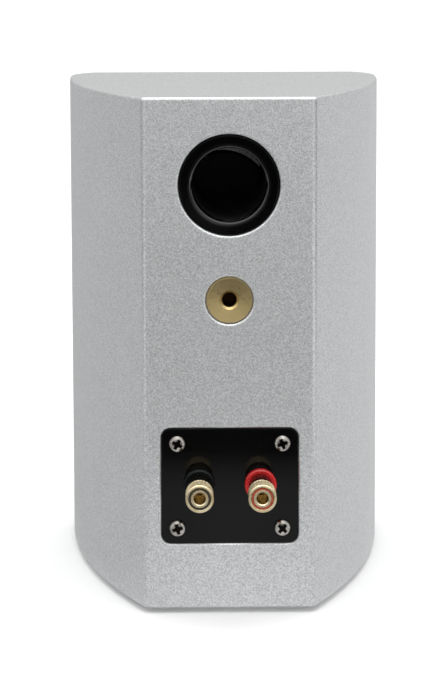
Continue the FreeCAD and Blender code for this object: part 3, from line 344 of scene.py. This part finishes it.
def speaker_paper():
    """Pressed paper pulp with random fibres."""
    look = Look("speaker_paper", Specular_IOR_Level=0.25, Roughness=0.8)
    fibre = look.noise(1.0, 5.0, place=look.moved(scale=(700, 1500, 1100)))
    look.color(look.blend(fibre, (0.014, 0.014, 0.016), (0.065, 0.065, 0.07)))
    return look.bump(fibre, 0.00015, 0.6)


def coated_silk():
    look = Look("coated_silk", Specular_IOR_Level=0.4, Sheen_Weight=0.2)
    weave = look.math("MULTIPLY", look.bands(0.0005, "X"), look.bands(0.0005, "Z"))
    look.color(look.blend(weave, (0.010, 0.010, 0.012), (0.04, 0.04, 0.045)))
    look.rough(look.ramp(look.noise(500.0, 3.0), 0.3, 0.7, 0.35, 0.55))
    return look.bump(weave, 0.00004, 0.5)


def spider_cloth():
    look = Look("spider_cloth", Specular_IOR_Level=0.2, Roughness=0.8)
    weave = look.math("MULTIPLY", look.bands(0.0011, "X"), look.bands(0.0011, "Z"))
    look.color(look.blend(weave, (0.36, 0.22, 0.07), (0.75, 0.55, 0.24)))
    return look.bump(weave, 0.0001, 0.7)


def copper_winding():
    look = Look("copper_winding", Metallic=1.0, Roughness=0.3)
    turns = look.bands(0.0008, "DIAGONAL")
    look.color(look.blend(turns, (0.25, 0.085, 0.035), (0.78, 0.36, 0.17)))
    return look.bump(turns, 0.0002, 0.9)


def ferrite():
    look = Look("ferrite", Specular_IOR_Level=0.4)
    look.color(look.blend(look.noise(260.0, 5.0), (0.022, 0.022, 0.024), (0.085, 0.085, 0.09)))
    look.rough(look.ramp(look.noise(400.0, 4.0), 0.3, 0.7, 0.5, 0.75))
    return look.bump(look.noise(800.0, 5.0), 0.00008, 0.5)


def zinc_plate():
    look = Look("zinc_plate", Metallic=1.0)
    look.color(look.blend(look.cells(180.0, output="Distance"), (0.50, 0.51, 0.50), (0.74, 0.74, 0.71)))
    look.rough(look.ramp(look.noise(500.0, 3.0), 0.3, 0.7, 0.25, 0.45))
    return look.bump(look.noise(1200.0, 3.0), 0.00003, 0.3)


def powder_coat():
    look = Look("powder_coat", Specular_IOR_Level=0.45)
    look.color(look.blend(look.noise(900.0, 3.0), (0.012, 0.012, 0.013), (0.03, 0.03, 0.031)))
    look.rough(look.ramp(look.noise(600.0, 3.0), 0.3, 0.7, 0.42, 0.62))
    return look.bump(look.noise(1100.0, 3.0), 0.00009, 0.5)


def circuit_board():
    look = Look("circuit_board", IOR=1.5)
    traces = look.ramp(look.bands(0.009, "X", 3.0), 0.5, 0.56, 0.0, 1.0)
    look.color(look.blend(traces, (0.012, 0.085, 0.035), (0.03, 0.19, 0.075)))
    look.rough(look.ramp(look.noise(400.0, 3.0), 0.3, 0.7, 0.25, 0.4))
    return look.bump(traces, 0.00005, 0.6)


def pale_solid(name, low, high, rough=(0.5, 0.7)):
    """Pale moulded or fired material with a fine grain."""
    look = Look(name)
    look.color(look.blend(look.noise(350.0, 5.0), low, high))
    look.rough(look.ramp(look.noise(600.0, 3.0), 0.3, 0.7, *rough))
    return look.bump(look.noise(1000.0, 4.0), 0.00006, 0.4)


def grille_weave():
    """Open plain weave of dyed yarn, seen across the grille's face."""
    look = Look("grille_weave", Specular_IOR_Level=0.15, Sheen_Weight=0.15, Sheen_Roughness=0.6)
    warp, weft = look.bands(0.0012, "X"), look.bands(0.0012, "Z")
    yarn = look.math("MAXIMUM", warp, weft)
    fuzz = look.noise(2500.0, 3.0)
    tone = look.math("ADD", look.math("MULTIPLY", yarn, 0.8), look.math("MULTIPLY", fuzz, 0.2))
    look.color(look.blend(tone, (0.004, 0.004, 0.004), (0.042, 0.042, 0.044)))
    look.rough(look.ramp(fuzz, 0.3, 0.7, 0.75, 0.95))
    return look.bump(yarn, 0.00035, 0.9)


LOOKS = {
    "painted_cabinet": flake_lacquer(),
    "black_rubber": rubber(),
    "foam": foam(),
    "gloss_black_plastic": gloss_black(),
    "satin_black_plastic": satin_black(),
    "brass": turned_brass(),
    "nickel_screw": recessed_nickel("front_screws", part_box("front_baffle")[0].y, -1.0),
    "gold_plated": plated("pale_gold", (0.70, 0.55, 0.30), (0.92, 0.80, 0.55), (0.16, 0.3)),
    "red_plastic": dyed_plastic("red_insulator", (0.40, 0.006, 0.008), (0.60, 0.016, 0.014)),
    "black_plastic": dyed_plastic("black_insulator", (0.002, 0.003, 0.003), (0.006, 0.007, 0.007), 0.15),
    "tinned_copper": plated("tinned_copper", (0.55, 0.54, 0.50), (0.82, 0.81, 0.77), (0.25, 0.4)),
    "pressed_steel": powder_coat(),
    "zinc_steel": zinc_plate(),
    "ferrite": ferrite(),
    "paper_cone": speaker_paper(),
    "silk_dome": coated_silk(),
    "spider_cloth": spider_cloth(),
    "copper_coil": copper_winding(),
    "grille_plastic": satin_black("grille_moulding", (0.016, 0.016, 0.016), 1200.0),
    "grille_fabric": grille_weave(),
    "green_board": circuit_board(),
    "white_ceramic": pale_solid("fired_ceramic", (0.62, 0.60, 0.55), (0.80, 0.79, 0.75)),
    "yellow_film": pale_solid("film_wrap", (0.62, 0.44, 0.05), (0.80, 0.62, 0.14), (0.2, 0.35)),
    "white_nylon": pale_solid("nylon", (0.62, 0.62, 0.60), (0.80, 0.80, 0.78), (0.35, 0.5)),
}


OWN_LOOKS = {
    # The base pad is painted pale grey instead of its black rubber: painted light that lightens the shaded
    # gap under the cabinet
    "base_pad": pale_solid("base_pad_painted_light", (0.60, 0.60, 0.60), (0.74, 0.74, 0.74), (0.7, 0.9)),
    "port_flare": port_black(),
    "terminal_screws": recessed_nickel("terminal_screws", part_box("terminal_plate")[1].y, 1.0),
    "red_nut_ring": dyed_plastic("red_ring", (0.26, 0.035, 0.012), (0.42, 0.07, 0.025)),
    "black_nut_ring": dyed_plastic("dark_ring", (0.020, 0.016, 0.008), (0.045, 0.036, 0.018)),
}


def paint_frame():
    """Every CAD node takes the material of its slot in the record, or one of its own."""
    for part in frame["record"]["subparts"]:
        mesh = frame["nodes"][part["node"]].data
        mesh.materials.clear()
        look = OWN_LOOKS.get(part["node"]) or LOOKS[part["material_slot"]]
        mesh.materials.append(look.material)


# ---- Pieces that take the place of plain solids ----

def new_piece(name, points, faces, look):
    mesh = bpy.data.meshes.new(name)
    mesh.from_pydata(points, [], faces)
    mesh.materials.append(look.material)
    mesh.shade_smooth()
    piece = bpy.data.objects.new(name, mesh)
    bpy.context.scene.collection.objects.link(piece)
    return piece


def swept_points(rows, middle, turns):
    """Points of rows turned about a line along Y; row(turn) gives (radius, y)."""
    points = []
    for row in rows:
        for turn in turns:
            radius, y = row(turn)
            points.append((middle.x + radius * math.cos(turn), y, middle.z + radius * math.sin(turn)))
    return points


def strip_faces(rows, steps, closed):
    """Quads between neighbouring rows of a turned surface; closed rows meet themselves."""
    around = steps if closed else steps - 1
    faces = []
    for row in range(rows - 1):
        for i in range(around):
            j = (i + 1) % steps
            faces.append((row * steps + i, (row + 1) * steps + i, (row + 1) * steps + j, row * steps + j))
    return faces


def groove(turn):
    """Triangle wave from 0 in a groove to 1 on a ridge, once for every whole turn of its argument."""
    return abs(2.0 * (turn % 1.0) - 1.0)


def knurled_nut(color):
    """Clamping nut with a diamond-knurled head, a turned face and a smooth neck."""
    low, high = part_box(f"{color}_post_nut")
    middle = (low + high) / 2
    outer, front, back = (high.x - low.x) / 2, high.y, low.y
    bore = half_width(f"{color}_nut_ring") + NUT_BORE_GAP
    post = half_width(f"{color}_post") + NUT_BORE_GAP
    head = front - NUT_HEAD

    def plain(radius, y):
        return lambda turn: (radius, y)

    def knurled(y, share):
        def row(turn):
            across = turn / (2 * math.pi) * KNURL_TEETH
            ridge = min(groove(across + y * KNURL_LEAN), groove(across - y * KNURL_LEAN))
            return outer - KNURL_DEPTH * share * (1.0 - min(1.0, ridge * KNURL_CREST)), y
        return row

    rows = [plain(post, back), plain(NUT_NECK, back), plain(NUT_NECK, head)]
    rows += [plain(outer - NUT_CHAMFER, head), plain(outer - NUT_CHAMFER * 0.3, head + NUT_CHAMFER * 0.5)]
    start, end = head + NUT_CHAMFER, front - NUT_CHAMFER
    for i in range(KNURL_STEPS + 1):
        share = min(1.0, i / 2, (KNURL_STEPS - i) / 2)
        rows.append(knurled(start + (end - start) * i / KNURL_STEPS, share))
    rows += [plain(outer - NUT_CHAMFER * 0.3, front - NUT_CHAMFER * 0.4), plain(outer - NUT_CHAMFER, front)]
    rows += [plain(bore + NUT_BORE_BREAK, front), plain(bore, front - NUT_BORE_BREAK)]
    rows += [plain(bore, front - NUT_RING_SEAT), plain(post, front - NUT_RING_SEAT), plain(post, back)]
    count = KNURL_TEETH * 8
    turns = [2 * math.pi * i / count for i in range(count)]
    points = swept_points(rows, middle, turns)
    faces = strip_faces(len(rows), count, True)
    piece = new_piece(f"{color}_knurled_nut", points, faces, knurled_gold(color))
    piece.data.set_sharp_from_angle(angle=math.radians(NUT_EDGE_ANGLE))
    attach(piece, f"{color}_nut")
    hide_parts(f"{color}_post_nut")


def flexing_ring(node, name, profile):
    """Soft ring in equal sectors, each swept along its own stretch of the circle; neighbours agree where they
    meet.
    """
    slot = next(p["material_slot"] for p in frame["record"]["subparts"] if p["node"] == node)
    middle = box_middle(node)
    half = math.pi / FLEX_SECTORS
    rows = [lambda turn, at=at: at for at in profile + profile[:1]]
    for k in range(FLEX_SECTORS):
        centre = 2 * half * k
        turns = [centre + half * (i / 4 - 1) for i in range(9)]
        points = swept_points(rows, middle, turns)
        faces = strip_faces(len(rows), len(turns), False)
        piece = new_piece(f"{name}_{k + 1:02d}", points, faces, LOOKS[slot])
        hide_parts(node)
        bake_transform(piece)


def half_roll(inner, outer, y, steps=14):
    middle, reach = (inner + outer) / 2, (outer - inner) / 2
    return [(middle + reach * math.cos(math.pi * i / steps), y - reach * math.sin(math.pi * i / steps))
            for i in range(steps + 1)]


def woofer_surround():
    """Half-roll edge from the basket's lip to the cone."""
    low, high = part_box("woofer_surround")
    outer, seat, back = (high.x - low.x) / 2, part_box("front_baffle")[0].y, high.y
    lip, cone = outer - SURROUND_LIP, half_width("woofer_cone")
    profile = [(outer, seat), (outer, seat - SKIN)] + half_roll(cone, lip, seat - SKIN)
    profile += [(cone, back), (cone + SKIN, back)] + half_roll(cone + SKIN, lip - SKIN, seat)[::-1]
    flexing_ring("woofer_surround", "rubber_surround", profile)


def woofer_spider():
    """Corrugated centring disc, from the basket in to the voice coil."""
    low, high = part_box("woofer_spider")
    outer, inner = (high.x - low.x) / 2, half_width("woofer_voice_coil") + NUT_BORE_GAP
    plane = (low.y + high.y - SKIN) / 2
    steps = SPIDER_WAVES * 6
    front = []
    for i in range(steps + 1):
        wave = SPIDER_WAVE * math.sin(2 * math.pi * SPIDER_WAVES * i / steps)
        front.append((inner + (outer - inner) * i / steps, plane - wave))
    profile = front + [(radius, y + SKIN) for radius, y in front[::-1]]
    flexing_ring("woofer_spider", "cloth_spider", profile)


def tweeter_surround():
    """Small half-roll edge round the silk dome."""
    low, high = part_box("tweeter_surround")
    outer, inner = (high.x - low.x) / 2, half_width("tweeter_dome")
    rim = high.y - SKIN
    front = half_roll(inner, outer, rim)
    profile = front + half_roll(inner + SKIN / 2, outer - SKIN / 2, rim + SKIN / 2)[::-1]
    flexing_ring("tweeter_surround", "silk_edge", profile)


def foam_pad():
    """Crowned block of acoustic foam behind the rear panel, flat where it is stuck down."""
    low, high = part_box("damping_pad")
    middle, half = (low + high) / 2, (high - low) / 2
    steps_x, steps_z = 24, 20
    points = []
    for side in (1, -1):
        for i in range(steps_x + 1):
            for j in range(steps_z + 1):
                u, v = 2 * i / steps_x - 1, 2 * j / steps_z - 1
                crown = (1 - abs(u) ** 8) * (1 - abs(v) ** 8)
                rise = half.y if side > 0 else -half.y * (FOAM_CROWN * crown ** 0.5 - FOAM_CROWN + 1)
                x = middle.x + half.x * u * (1 - FOAM_BOW * v * v)
                z = middle.z + half.z * v * (1 - FOAM_BOW * u * u)
                points.append((x, middle.y + rise, z))
    rows = steps_z + 1
    layer = (steps_x + 1) * rows
    faces = []
    for i in range(steps_x):
        for j in range(steps_z):
            a = i * rows + j
            faces.append((a, a + rows, a + rows + 1, a + 1))
            faces.append((layer + a, layer + a + 1, layer + a + rows + 1, layer + a + rows))
    rim = [i * rows for i in range(steps_x)] + [steps_x * rows + j for j in range(steps_z)]
    rim += [i * rows + steps_z for i in range(steps_x, 0, -1)] + [j for j in range(steps_z, 0, -1)]
    for a, b in zip(rim, rim[1:] + rim[:1]):
        faces.append((a, layer + a, layer + b, b))
    piece = new_piece("foam_damping_pad", points, faces, LOOKS["foam"])
    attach(piece, "cabinet")
    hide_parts("damping_pad")


def rounded_outline(half_x, half_z, corner, per_corner=8):
    outline = []
    for quarter in range(4):
        sign_x, sign_z = ((1, 1), (-1, 1), (-1, -1), (1, -1))[quarter]
        for i in range(per_corner + 1):
            turn = math.pi / 2 * (quarter + i / per_corner)
            outline.append((sign_x * (half_x - corner) + corner * math.cos(turn),
                            sign_z * (half_z - corner) + corner * math.sin(turn)))
    return outline


def grille_fabric():
    """One sheet of cloth pulled over the grille frame's face and down its edges."""
    low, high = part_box("grille_cloth")
    middle, half = (low + high) / 2, (high - low) / 2
    outline = rounded_outline(half.x, half.z, GRILLE_CORNER)
    count = len(outline)
    shares = [i / CLOTH_RINGS for i in range(1, CLOTH_RINGS + 1)]
    flat_part, bend = 1 - CLOTH_FOLD / half.x, 1 - CLOTH_FOLD / half.x * 0.3
    points, faces = [(middle.x, low.y + CLOTH_DIP, middle.z)], []
    for share in shares:
        for x, z in outline:
            inset = share * flat_part
            dip = CLOTH_DIP * (1 - share ** 6)
            points.append((middle.x + x * inset, low.y + dip, middle.z + z * inset))
    for x, z in outline:
        points.append((middle.x + x * bend, low.y + CLOTH_FOLD * 0.3, middle.z + z * bend))
    for y in (low.y + CLOTH_FOLD, high.y):
        points += [(middle.x + x, y, middle.z + z) for x, z in outline]
    for i in range(count):
        faces.append((0, 1 + (i + 1) % count, 1 + i))
    for row in range(len(shares) + 2):
        for i in range(count):
            a, b = 1 + row * count + i, 1 + row * count + (i + 1) % count
            faces.append((a, b, b + count, a + count))
    piece = new_piece("grille_fabric_sheet", points, faces, LOOKS["grille_fabric"])
    piece.data.flip_normals()
    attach(piece, "grille")
    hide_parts("grille_cloth")


# ---- Studio ----

def add_camera():
    data = bpy.data.cameras.new("camera")
    data.sensor_width = 36.0
    data.lens = CAMERA_LENS
    data.shift_y = CAMERA_SHIFT
    data.clip_start, data.clip_end = 0.01, 100.0
    camera = bpy.data.objects.new("camera", data)
    bpy.context.scene.collection.objects.link(camera)
    ahead = Vector((
        -math.sin(CAMERA_YAW) * math.cos(CAMERA_PITCH),
        -math.cos(CAMERA_YAW) * math.cos(CAMERA_PITCH),
        -math.sin(CAMERA_PITCH)))
    right = ahead.cross(Vector((0, 0, 1))).normalized()
    up = right.cross(ahead)
    turn = Matrix((right, up, -ahead)).transposed() @ Matrix.Rotation(CAMERA_ROLL, 3, "Z")
    camera.matrix_world = Matrix.Translation(CAMERA_PLACE) @ turn.to_4x4()
    bpy.context.scene.camera = camera


def quad(name, corners, material):
    mesh = bpy.data.meshes.new(name)
    mesh.from_pydata(corners, [], [(0, 1, 2, 3)])
    mesh.materials.append(material)
    piece = bpy.data.objects.new(name, mesh)
    bpy.context.scene.collection.objects.link(piece)
    return piece


def rectangle(x0, x1, y0, y1, z):
    return [(x0, y0, z), (x1, y0, z), (x1, y1, z), (x0, y1, z)]


def add_floor():
    """Pale paper floor, much larger than any view."""
    look = Look("pale_floor", Roughness=0.9, Specular_IOR_Level=0.0)
    look.color(look.blend(look.noise(60.0, 3.0), (0.90, 0.90, 0.90), (0.92, 0.92, 0.92)))
    quad("floor", rectangle(-30, 30, -30, 30, 0), look.material)


def add_backdrop():
    """White walls far beyond the floor, which only close the view above the horizon."""
    look = Look("white_backdrop")
    tone = look.blend(look.noise(0.1, 1.0), (0.98, 0.98, 0.98), (1.0, 1.0, 1.0))
    glow = look.node("ShaderNodeEmission", {"Color": tone})
    look.tree.links.new(glow.outputs[0], look.tree.nodes["Material Output"].inputs["Surface"])
    reach, height = 29.0, 12.0
    corners = [(-reach, -reach), (reach, -reach), (reach, reach), (-reach, reach)]
    for i, (start, end) in enumerate(zip(corners, corners[1:] + corners[:1])):
        outline = [(*start, 0), (*end, 0), (*end, height), (*start, height)]
        wall = quad(f"backdrop_{i + 1}", outline, look.material)
        wall.visible_diffuse = False
        wall.visible_glossy = False
        wall.visible_shadow = False
        wall.visible_transmission = False


def add_reflected_floor():
    """Glowing card seen only in reflections, a painted reflection of the floor: dim paper near the cabinet
    and the unlit room beyond its far edge.
    """
    look = Look("reflected_floor")
    behind = look.ramp(look.along("Y"), *PAPER_EDGE, 0.0, 1.0)
    aside = look.math("ABSOLUTE", look.along("X"))
    middle = look.math("MULTIPLY", behind, look.ramp(aside, *DARK_HALF, 1.0, 0.0))
    edge = look.math("ADD", look.along("Y"), look.math("MULTIPLY", aside, FAR_SLANT))
    beyond = look.ramp(edge, *FAR_EDGE, 0.0, 1.0)
    far = look.math("MULTIPLY", look.ramp(aside, *FAR_START, 0.0, 1.0), beyond)
    tone = look.blend(look.math("MAXIMUM", middle, far), FLOOR_GLOW, ROOM_GLOW)
    left = look.ramp(look.along("X"), *SIDE_START, 1.0, FLOOR_LEFT)
    other_way = look.math("MULTIPLY", look.along("X"), -1.0)
    right = look.ramp(other_way, *SIDE_START, 1.0, FLOOR_RIGHT)
    shade = look.blend(behind, (1.0, 1.0, 1.0), (STRIP_GLOW,) * 3)
    shade = look.math("MULTIPLY", shade, look.math("MULTIPLY", left, right))
    glow = look.node("ShaderNodeEmission", {"Color": tone, "Strength": shade})
    output = look.tree.nodes["Material Output"]
    look.tree.links.new(glow.outputs[0], output.inputs["Surface"])
    card = quad("reflected_floor", rectangle(-20, 20, -20, 20, CARD_HEIGHT), look.material)
    card.visible_camera = False
    card.visible_diffuse = False
    card.visible_shadow = False
    card.visible_transmission = False


def sky_ramp(tree, value, steps):
    """Grey tones over a value from 0 to 1, given as (place, tone) steps."""
    ramp = tree.nodes.new("ShaderNodeValToRGB")
    stops = ramp.color_ramp.elements
    for at, tone in steps:
        stop = {0.0: stops[0], 1.0: stops[-1]}.get(at) or stops.new(at)
        stop.color = (tone, tone, tone, 1)
    tree.links.new(value, ramp.inputs[0])
    return ramp.outputs[0]


def add_world():
    """Soft light from all round, stronger from above and from behind the camera."""
    world = bpy.data.worlds.new("studio")
    bpy.context.scene.world = world
    world.use_nodes = True
    tree = world.node_tree
    tree.nodes.clear()
    place = tree.nodes.new("ShaderNodeTexCoord").outputs["Generated"]
    parts = tree.nodes.new("ShaderNodeSeparateXYZ")
    tree.links.new(place, parts.inputs[0])
    halves = []
    for axis in ("X", "Y"):
        half = tree.nodes.new("ShaderNodeMath")
        half.operation = "MULTIPLY_ADD"
        half.inputs[1].default_value = 0.5
        half.inputs[2].default_value = 0.5
        tree.links.new(parts.outputs[axis], half.inputs[0])
        halves.append(half.outputs[0])
    tone = sky_ramp(tree, parts.outputs["Z"], SKY)
    for value, steps in zip(halves, (SKY_ACROSS, SKY_ALONG)):
        scale = tree.nodes.new("ShaderNodeVectorMath")
        scale.operation = "MULTIPLY"
        tree.links.new(tone, scale.inputs[0])
        tree.links.new(sky_ramp(tree, value, steps), scale.inputs[1])
        tone = scale.outputs[0]
    background = tree.nodes.new("ShaderNodeBackground")
    tree.links.new(tone, background.inputs[0])
    output = tree.nodes.new("ShaderNodeOutputWorld")
    tree.links.new(background.outputs[0], output.inputs[0])


def add_softbox(name, place, target, size, power):
    light = bpy.data.lights.new(name, "AREA")
    light.shape = "RECTANGLE"
    light.size, light.size_y = size
    light.energy = power
    lamp = bpy.data.objects.new(name, light)
    bpy.context.scene.collection.objects.link(lamp)
    aim = Vector(target) - Vector(place)
    lamp.matrix_world = Matrix.Translation(place) @ aim.to_track_quat("-Z", "Y").to_matrix().to_4x4()


paint_frame()
for color in ("red", "black"):
    knurled_nut(color)
woofer_surround()
woofer_spider()
tweeter_surround()
foam_pad()
grille_fabric()
add_camera()
add_floor()
add_backdrop()
add_reflected_floor()
add_world()
add_softbox("softbox_right", (-1.0, 0.6, 1.1), (0, 0, 0.1), (0.9, 0.9), 0.7)
add_softbox("softbox_left", (1.1, 0.5, 0.9), (0, 0, 0.1), (0.6, 0.9), 1.0)
add_softbox("softbox_top", (0, -0.1, 1.5), (0, 0, 0.1), (1.2, 1.2), 4.0)
add_softbox("softbox_rear", (0, 2.2, 1.15), (0, 0, 0.1), (1.2, 0.8), 0.6)
bpy.context.scene.view_settings.view_transform = "Standard"
